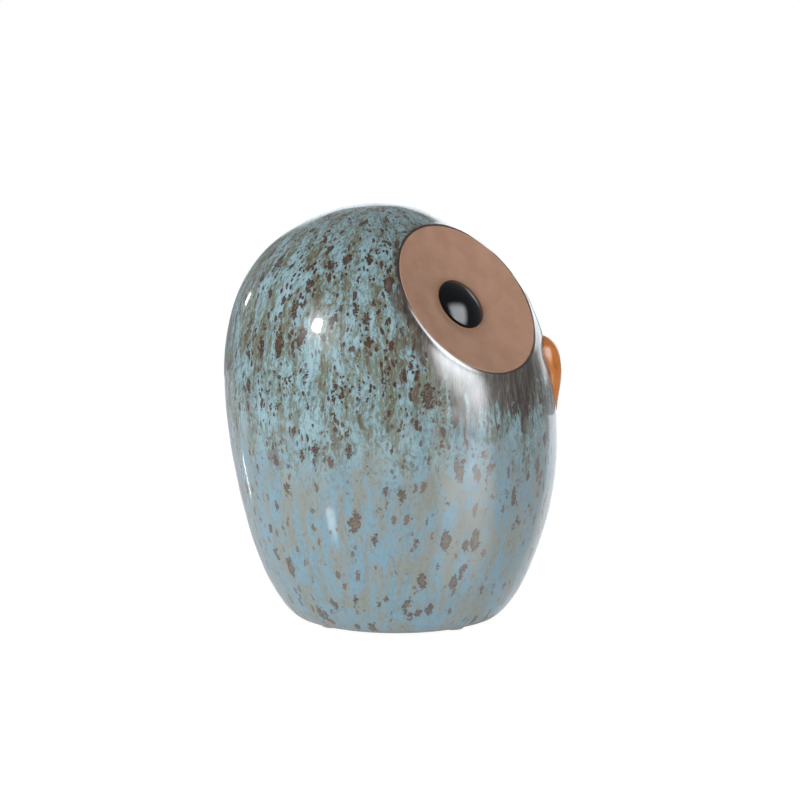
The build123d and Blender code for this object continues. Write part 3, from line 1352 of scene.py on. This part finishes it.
@dataclass
class Beak:
    """The orange beak."""

    form: BeakForm
    body: OwlForm

    def build(self, finishes: Finishes) -> list[Piece]:
        """Make the beak and dress it.

        Args:
            finishes: the materials.

        Returns:
            The beak alone, in a list.
        """
        piece = self.form.solid("beak", self.body)
        shade(piece, 40)
        return [settle(piece, "beak", finishes.orange, "bank")]


@dataclass
class Stopper:
    """Rubber bung: flange, ribbed neck, and a pull tab in the hollow under it."""

    middle_y: float
    flange_radius: float = 23.5
    flange_bottom: float = 2.5
    seat_z: float = 4.7
    neck_radius: float = 17.9
    rib_radius: float = 18.95
    rib_first: float = 5.3
    rib_pitch: float = 2.4
    rib_thick: float = 1.6
    rib_count: int = 3
    top: float = 14.0
    cup_radius: float = 14.6
    cup_top: float = 11.2
    tab: tuple = (12.0, 3.0)
    tab_bottom: float = 3.0
    tab_hole: float = 1.6

    def bung(self) -> Piece:
        """Make the turned part.

        Returns:
            The piece, its axis on Z.
        """
        soft = 0.6
        outline = [(0, self.cup_top)]
        outline += arc((self.cup_radius - 1.2, self.cup_top - 1.2), 1.2, 90, 0, 6)
        outline += arc((self.cup_radius + soft, self.flange_bottom + soft), soft, 180, 270, 5)
        outline += arc((self.flange_radius - soft, self.flange_bottom + soft), soft, -90, 0, 5)
        outline += arc((self.flange_radius - soft, self.seat_z - soft), soft, 0, 90, 5)
        outline += [(self.neck_radius, self.seat_z)]
        for i in range(self.rib_count):
            low = self.rib_first + i * self.rib_pitch
            high = low + self.rib_thick
            outline += [(self.neck_radius, low), (self.rib_radius - 0.4, low + 0.15)]
            outline += [(self.rib_radius, low + 0.55), (self.rib_radius, high - 0.55)]
            outline += [(self.rib_radius - 0.4, high - 0.15), (self.neck_radius, high)]
        outline += arc((self.neck_radius - 1.2, self.top - 1.2), 1.2, 0, 90, 6)
        outline += [(0, self.top)]
        return turned("stopper", outline, 160)

    def tab_piece(self) -> Piece:
        """Make the pull tab: a round-cornered plate with a hole through it, let into the bung.

        Returns:
            The piece, its middle on Z.
        """
        long, thick = self.tab
        high = self.cup_top - self.tab_bottom + 1
        loop, corner = [], 1.6
        for sx, sz, start in ((1, -1, 270), (1, 1, 0), (-1, 1, 90), (-1, -1, 180)):
            for a in np.radians(np.linspace(start, start + 90, 7)):
                loop.append((sx * (long / 2 - corner) + corner * math.cos(a),
                             self.tab_bottom + high / 2 + sz * (high / 2 - corner) + corner * math.sin(a)))
        plate = prism("tab", loop, -thick / 2, thick / 2)
        hole = turned("tab_hole_cutter", [(0, -4), (self.tab_hole, -4), (self.tab_hole, 4), (0, 4)], 32)
        turn = Matrix.Rotation(math.pi / 2, 4, "X")
        lift = Matrix.Translation((0, 0, (self.tab_bottom + self.cup_top) / 2 * MM))
        hole.data.transform(lift @ turn)
        carve(plate, [hole])
        bevel = plate.modifiers.new("round_over", "BEVEL")
        bevel.width, bevel.segments, bevel.limit_method = 0.45 * MM, 3, "ANGLE"
        apply_modifiers(plate)
        return plate

    def build(self, finishes: Finishes) -> list[Piece]:
        """Make the stopper and dress it.

        Args:
            finishes: the materials.

        Returns:
            The stopper alone, in a list.
        """
        bung, tab = self.bung(), self.tab_piece()
        join = bung.modifiers.new("tab", "BOOLEAN")
        join.operation, join.solver, join.object = "UNION", "EXACT", tab
        apply_modifiers(bung)
        bpy.data.objects.remove(tab)
        bung.data.transform(Matrix.Translation((0, self.middle_y * MM, 0)))
        shade(bung, 40)
        return [settle(bung, "stopper", finishes.rubber, "stopper")]


@dataclass
class FootPads:
    """Four round pads under the foot."""

    middle_y: float
    radius: float = 4.5
    thick: float = 1.2
    circle: float = 33.0
    count: int = 4

    def build(self, finishes: Finishes) -> list[Piece]:
        """Make the four pads as one piece and dress it.

        Args:
            finishes: the materials.

        Returns:
            The pads, in a list.
        """
        soft = 0.45
        outline = [(0, 0)] + arc((self.radius - soft, soft), soft, -90, 0, 5)
        outline += [(self.radius, self.thick - 0.1), (self.radius - 0.1, self.thick), (0, self.thick)]
        work = bmesh.new()
        for i in range(self.count):
            pad = turned("pad", outline, 48)
            angle = math.radians(45 + i * 360 / self.count)
            across, along = self.circle * math.cos(angle), self.circle * math.sin(angle) + self.middle_y
            pad.data.transform(Matrix.Translation((across * MM, along * MM, 0)))
            work.from_mesh(pad.data)
            bpy.data.objects.remove(pad)
        piece = from_net(work, "foot_pads")
        shade(piece, 40)
        return [settle(piece, "foot_pads", finishes.silicone, "bank")]


# ---- Studio ----------------------------------------------------------------------------------------


class LightRole(Enum):
    """What a light does: brightens surfaces, shows in their gloss, or both."""

    FILL = "fill"
    GLINT = "glint"
    BOTH = "both"


@dataclass
class Studio:
    """Pale table, soft lights and the camera."""

    azimuth: float = -86.3
    elevation: float = 8.93
    distance: float = 1100.0
    lens: float = 125.2
    aim: tuple = (0.0, -2.9, 86.3)
    floor_half: float = 620.0
    light_aim: float = 0.09
    light_colour: Colour = (0.90, 0.95, 1.0)

    @staticmethod
    def towards(azimuth: float, elevation: float) -> Vector:
        """Unit direction: azimuth 0 is -Y and 90 is +X, in degrees."""
        a, e = math.radians(azimuth), math.radians(elevation)
        return Vector((math.sin(a) * math.cos(e), -math.cos(a) * math.cos(e), math.sin(e)))

    def camera(self) -> None:
        """Place the camera."""
        data = bpy.data.cameras.new("camera")
        data.lens, data.sensor_width, data.clip_end = self.lens, 36.0, 50.0
        camera = linked("camera", data)
        back = self.towards(self.azimuth, self.elevation)
        camera.location = Vector(self.aim) * MM + back * self.distance * MM
        camera.rotation_mode = "QUATERNION"
        camera.rotation_quaternion = (-back).to_track_quat("-Z", "Y")
        bpy.context.scene.camera = camera

    def softbox(self, name: str, azimuth: float, elevation: float, away: float,
                size: tuple[float, float], power: float, role: LightRole = LightRole.BOTH,
                edge: float = 0.12, roll: float = 0.0) -> None:
        """Hang a soft light that faces the bank.

        Args:
            name: the light's name.
            azimuth: direction it hangs in, in degrees.
            elevation: its height above the horizon, in degrees.
            away: distance in metres.
            size: width and height in metres.
            power: watts.
            role: what it does for the surfaces.
            edge: share of its size over which it fades out at the edges.
            roll: turn about its own axis, in degrees.
        """
        data = bpy.data.lights.new(name, "AREA")
        data.shape = "ELLIPSE" if size[0] == size[1] else "RECTANGLE"
        data.size, data.size_y, data.energy = size[0], size[1], power
        data.color = self.light_colour
        light = linked(name, data)
        way = self.towards(azimuth, elevation)
        light.location = Vector((0, 0, self.light_aim)) + way * away
        light.rotation_mode = "QUATERNION"
        light.rotation_quaternion = way.to_track_quat("Z", "Y") @ Quaternion((0, 0, 1), math.radians(roll))
        self.fade(data, edge)
        light.visible_glossy = role is not LightRole.FILL
        light.visible_diffuse = role is not LightRole.GLINT

    @staticmethod
    def fade(data: bpy.types.Light, edge: float) -> None:
        """Let a light grow dim towards its edges.

        Args:
            data: the light.
            edge: share of its size over which it fades out.
        """
        data.use_nodes = True
        tree = data.node_tree
        glow = next(n for n in tree.nodes if n.type == "EMISSION")
        face = tree.nodes.new("ShaderNodeNewGeometry").outputs["Parametric"]
        split = tree.nodes.new("ShaderNodeSeparateXYZ")
        tree.links.new(face, split.inputs[0])
        shares = []
        for axis in ("X", "Y"):
            off = tree.nodes.new("ShaderNodeMath")
            off.operation = "PINGPONG"
            off.inputs[1].default_value = 0.5
            tree.links.new(split.outputs[axis], off.inputs[0])
            soft = tree.nodes.new("ShaderNodeMapRange")
            soft.interpolation_type = "SMOOTHSTEP"
            soft.inputs["From Max"].default_value = edge
            tree.links.new(off.outputs[0], soft.inputs["Value"])
            shares.append(soft.outputs[0])
        product = tree.nodes.new("ShaderNodeMath")
        product.operation = "MULTIPLY"
        for share, socket in zip(shares, product.inputs):
            tree.links.new(share, socket)
        tree.links.new(product.outputs[0], glow.inputs["Strength"])

    def floor(self) -> None:
        """Lay the table."""
        half = self.floor_half
        corners = np.array([(-half, -half, 0), (half, -half, 0), (half, half, 0), (-half, half, 0)])
        table = new_mesh("table", corners, [[0, 1, 2, 3]])
        b = Bench("table_white")
        white = rgb(243, 243, 244)
        shader = b.finish(Base_Color=white, Roughness=0.06, IOR=1.6,
                          Emission_Color=white, Emission_Strength=0.12)
        out = next(n for n in b.tree.nodes if n.type == "OUTPUT_MATERIAL")
        matt = b.add("ShaderNodeBsdfDiffuse", {}, {"Color": white}).outputs[0]
        glow = b.add("ShaderNodeEmission", {}, {"Strength": 1.14}).outputs[0]
        pale = b.add("ShaderNodeMixShader", {}, {0: 0.16, 1: glow, 2: matt}).outputs[0]
        seen = b.add("ShaderNodeLightPath").outputs["Is Camera Ray"]
        face = b.add("ShaderNodeMixShader", {}, {0: seen, 1: b.shader.outputs[0], 2: pale}).outputs[0]
        clear = b.add("ShaderNodeBsdfTransparent").outputs[0]
        behind = b.add("ShaderNodeNewGeometry").outputs["Backfacing"]
        mix = b.add("ShaderNodeMixShader", {}, {0: behind, 1: face, 2: clear})
        b.feed(out.inputs["Surface"], mix.outputs[0])
        table.data.materials.append(shader)

    def surround(self) -> None:
        """White where the camera looks, and a dimmer room in reflections."""
        world = bpy.data.worlds.new("studio")
        world.use_nodes = True
        tree = world.node_tree
        room = next(n for n in tree.nodes if n.type == "BACKGROUND")
        room.inputs["Color"].default_value = (0.82, 0.84, 0.87, 1)
        room.inputs["Strength"].default_value = 0.30
        seen = tree.nodes.new("ShaderNodeBackground")
        seen.inputs["Color"].default_value = (1, 1, 1, 1)
        seen.inputs["Strength"].default_value = 1.0
        path = tree.nodes.new("ShaderNodeLightPath")
        mix = tree.nodes.new("ShaderNodeMixShader")
        out = next(n for n in tree.nodes if n.type == "OUTPUT_WORLD")
        tree.links.new(path.outputs["Is Camera Ray"], mix.inputs[0])
        tree.links.new(room.outputs[0], mix.inputs[1])
        tree.links.new(seen.outputs[0], mix.inputs[2])
        tree.links.new(mix.outputs[0], out.inputs["Surface"])
        bpy.context.scene.world = world

    def build(self) -> None:
        """Set up the table, lights, room and camera."""
        self.floor()
        self.surround()
        self.softbox("front_box", -31, 24, 0.95, (0.98, 1.1), 43.0, LightRole.GLINT, 0.34, -18)
        self.softbox("front_fill", -20, 14, 1.3, (0.9, 0.9), 1.4, LightRole.FILL)
        self.softbox("side_fill", -116, 16, 1.3, (1.2, 1.0), 13.0, LightRole.FILL)
        self.softbox("back_fill", -170, 16, 1.4, (0.9, 1.0), 6.5, LightRole.FILL)
        self.softbox("top_fill", -20, 60, 1.4, (0.9, 0.9), 1.2, LightRole.FILL)
        self.softbox("back_lamp", -136.5, 27, 1.5, (0.21, 0.21), 18.0, LightRole.GLINT, 0.3)
        self.softbox("far_lamp", 140, 11, 1.4, (0.045, 0.10), 0.5, LightRole.GLINT)
        self.softbox("far_wall", 80, 13, 2.2, (2.6, 1.3), 17.0)
        bpy.context.scene.view_settings.view_transform = "Standard"
        self.camera()


def main() -> None:
    """Build the owl and its studio."""
    logging.basicConfig(level=logging.INFO, format="%(message)s")
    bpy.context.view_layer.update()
    form, beak = OwlForm(), BeakForm()
    finishes = Finishes.mixed()
    eyes = (Eye(EyeSeat(Side.LEFT)), Eye(EyeSeat(Side.RIGHT)))
    middle_y = -form.foot_ahead
    makers = [BodyShell(form, eyes, CoinSlot(), beak), *eyes, Beak(beak, form), Stopper(middle_y),
              FootPads(middle_y)]
    for maker in makers:
        for piece in maker.build(finishes):
            log.info("%s: %d faces", piece.name, len(piece.data.polygons))
    Studio().build()


if __name__ == "__main__":
    main()
